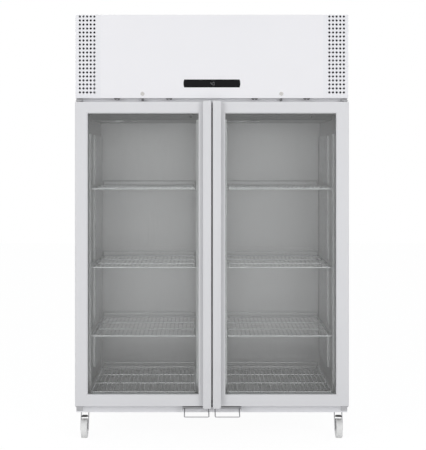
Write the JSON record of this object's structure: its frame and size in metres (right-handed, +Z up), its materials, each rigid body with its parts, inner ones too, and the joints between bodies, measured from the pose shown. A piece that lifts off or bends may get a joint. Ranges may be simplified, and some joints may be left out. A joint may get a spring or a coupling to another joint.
{
  "type": "explosion-proof refrigerator",
  "caption": "Tall white laboratory refrigerator with two glass doors, wire shelves, a top machine compartment, foot pedals and castors.",
  "frame": {"origin": "centre of the bounding box at its base, on the floor under the castors", "axes": "+Z up, the doors face -Y, +X to the right as seen from the front"},
  "size_m": [1.4, 0.9249, 2.2],
  "materials": {
    "white_enamel": "gloss",
    "foam": "matte",
    "brushed_liner": "satin",
    "door_profile": "satin",
    "pane_glass": "gloss",
    "gasket_rubber": "matte",
    "black_lens": "gloss",
    "lock_metal": "satin",
    "black_plastic": "matte",
    "bright_wire": "polished",
    "coil_aluminium": "satin",
    "motor_metal": "satin",
    "black_metal": "satin",
    "grey_enamel": "satin",
    "zinc_steel": "satin",
    "white_nylon": "matte"
  },
  "bodies": {
    "cabinet": {"back_duct_panel": "brushed_liner", "castor_plates": "zinc_steel", "ceiling_plenum": "brushed_liner", "centre_mullion": "brushed_liner", "compressor": "black_metal", "condenser": "coil_aluminium", "control_box": "grey_enamel", "display_unit": "black_lens", "evaporator_coil": "coil_aluminium", "fan_guards": "bright_wire", "fan_motors": "motor_metal", "fascia_catches": "black_plastic", "fascia_cover": "white_enamel", "hinge_brackets": "zinc_steel", "inner_liner": "brushed_liner", "insulation": "foam", "left_shelf_1": "bright_wire", "left_shelf_2": "bright_wire", "left_shelf_3": "bright_wire", "left_shelf_4": "bright_wire", "lock_housings": "lock_metal", "machine_deck": "white_enamel", "outer_casing": "white_enamel", "pedal_brackets": "zinc_steel", "rear_grille_panel": "white_enamel", "right_shelf_1": "bright_wire", "right_shelf_2": "bright_wire", "right_shelf_3": "bright_wire", "right_shelf_4": "bright_wire", "shelf_brackets": "brushed_liner", "shelf_uprights": "brushed_liner", "side_grilles": "white_enamel", "top_cover": "white_enamel"},
    "left_door": {"left_door_frame": "white_enamel", "left_door_glass": "pane_glass", "left_door_gasket": "gasket_rubber", "left_door_handle": "door_profile"},
    "left_lock_barrel": {"left_lock_barrel": "lock_metal"},
    "left_lock_bolt": {"left_lock_bolt": "lock_metal"},
    "left_pedal": {"left_foot_pedal": "zinc_steel"},
    "left_evaporator_fan": {"left_evaporator_fan": "black_plastic"},
    "left_brake_lever": {"left_brake_lever": "black_plastic"},
    "left_front_fork": {"left_front_castor_fork": "zinc_steel"},
    "left_front_wheel": {"left_front_castor_wheel": "white_nylon"},
    "left_rear_fork": {"left_rear_castor_fork": "zinc_steel"},
    "left_rear_wheel": {"left_rear_castor_wheel": "white_nylon"},
    "right_door": {"right_door_frame": "white_enamel", "right_door_glass": "pane_glass", "right_door_gasket": "gasket_rubber", "right_door_handle": "door_profile"},
    "right_lock_barrel": {"right_lock_barrel": "lock_metal"},
    "right_lock_bolt": {"right_lock_bolt": "lock_metal"},
    "right_pedal": {"right_foot_pedal": "zinc_steel"},
    "right_evaporator_fan": {"right_evaporator_fan": "black_plastic"},
    "right_brake_lever": {"right_brake_lever": "black_plastic"},
    "right_front_fork": {"right_front_castor_fork": "zinc_steel"},
    "right_front_wheel": {"right_front_castor_wheel": "white_nylon"},
    "right_rear_fork": {"right_rear_castor_fork": "zinc_steel"},
    "right_rear_wheel": {"right_rear_castor_wheel": "white_nylon"},
    "condenser_fan": {"condenser_fan": "black_plastic"}
  },
  "joints": [
    {"name": "left_door_hinge", "type": "hinge", "parent": "cabinet", "child": "left_door", "pos_m": [-0.682, -0.3725, 0.2], "axis": [0, 0, 1], "range_deg": [-105, 0]},
    {"name": "left_lock_turn", "type": "hinge", "parent": "cabinet", "child": "left_lock_barrel", "pos_m": [-0.356, -0.375, 1.7943], "axis": [0, 1, 0], "range_deg": [0, 90]},
    {"name": "left_bolt_drop", "type": "slide", "parent": "cabinet", "child": "left_lock_bolt", "axis": [0, 0, -1], "range_m": [0, 0.012]},
    {"name": "left_pedal_press", "type": "hinge", "parent": "cabinet", "child": "left_pedal", "pos_m": [-0.078, -0.3785, 0.18], "axis": [1, 0, 0], "range_deg": [0, 18], "stiffness_Nm_per_rad": 1, "springref_deg": -8.59},
    {"name": "left_front_swivel", "type": "hinge", "parent": "cabinet", "child": "left_front_fork", "pos_m": [-0.665, -0.2325, 0.14], "axis": [0, 0, 1], "continuous": true},
    {"name": "left_front_roll", "type": "hinge", "parent": "left_front_fork", "child": "left_front_wheel", "pos_m": [-0.665, -0.2655, 0.05], "axis": [1, 0, 0], "continuous": true},
    {"name": "left_rear_swivel", "type": "hinge", "parent": "cabinet", "child": "left_rear_fork", "pos_m": [-0.665, 0.3725, 0.14], "axis": [0, 0, 1], "continuous": true},
    {"name": "left_rear_roll", "type": "hinge", "parent": "left_rear_fork", "child": "left_rear_wheel", "pos_m": [-0.665, 0.3395, 0.05], "axis": [1, 0, 0], "continuous": true},
    {"name": "left_brake_press", "type": "hinge", "parent": "left_front_fork", "child": "left_brake_lever", "pos_m": [-0.665, -0.2525, 0.11], "axis": [1, 0, 0], "range_deg": [0, 24]},
    {"name": "left_evaporator_fan_spin", "type": "hinge", "parent": "cabinet", "child": "left_evaporator_fan", "pos_m": [-0.506, -0.0425, 1.68], "axis": [0, 0, 1], "continuous": true},
    {"name": "right_door_hinge", "type": "hinge", "parent": "cabinet", "child": "right_door", "pos_m": [0.682, -0.3725, 0.2], "axis": [0, 0, 1], "range_deg": [0, 105]},
    {"name": "right_lock_turn", "type": "hinge", "parent": "cabinet", "child": "right_lock_barrel", "pos_m": [0.356, -0.375, 1.7943], "axis": [0, 1, 0], "range_deg": [0, 90]},
    {"name": "right_bolt_drop", "type": "slide", "parent": "cabinet", "child": "right_lock_bolt", "axis": [0, 0, -1], "range_m": [0, 0.012]},
    {"name": "right_pedal_press", "type": "hinge", "parent": "cabinet", "child": "right_pedal", "pos_m": [0.078, -0.3785, 0.18], "axis": [1, 0, 0], "range_deg": [0, 18], "stiffness_Nm_per_rad": 1, "springref_deg": -8.59},
    {"name": "right_front_swivel", "type": "hinge", "parent": "cabinet", "child": "right_front_fork", "pos_m": [0.665, -0.2325, 0.14], "axis": [0, 0, 1], "continuous": true},
    {"name": "right_front_roll", "type": "hinge", "parent": "right_front_fork", "child": "right_front_wheel", "pos_m": [0.665, -0.2655, 0.05], "axis": [1, 0, 0], "continuous": true},
    {"name": "right_rear_swivel", "type": "hinge", "parent": "cabinet", "child": "right_rear_fork", "pos_m": [0.665, 0.3725, 0.14], "axis": [0, 0, 1], "continuous": true},
    {"name": "right_rear_roll", "type": "hinge", "parent": "right_rear_fork", "child": "right_rear_wheel", "pos_m": [0.665, 0.3395, 0.05], "axis": [1, 0, 0], "continuous": true},
    {"name": "right_brake_press", "type": "hinge", "parent": "right_front_fork", "child": "right_brake_lever", "pos_m": [0.665, -0.2525, 0.11], "axis": [1, 0, 0], "range_deg": [0, 24]},
    {"name": "right_evaporator_fan_spin", "type": "hinge", "parent": "cabinet", "child": "right_evaporator_fan", "pos_m": [0.16, -0.0425, 1.68], "axis": [0, 0, 1], "continuous": true},
    {"name": "condenser_fan_spin", "type": "hinge", "parent": "cabinet", "child": "condenser_fan", "pos_m": [0.33, -0.08, 1.9315], "axis": [0, 1, 0], "continuous": true}
  ],
  "couplings": [
    {"joint": "left_lock_turn", "follows": "left_bolt_drop", "rad_per_m": 130.9},
    {"joint": "right_lock_turn", "follows": "right_bolt_drop", "rad_per_m": 130.9}
  ]
}
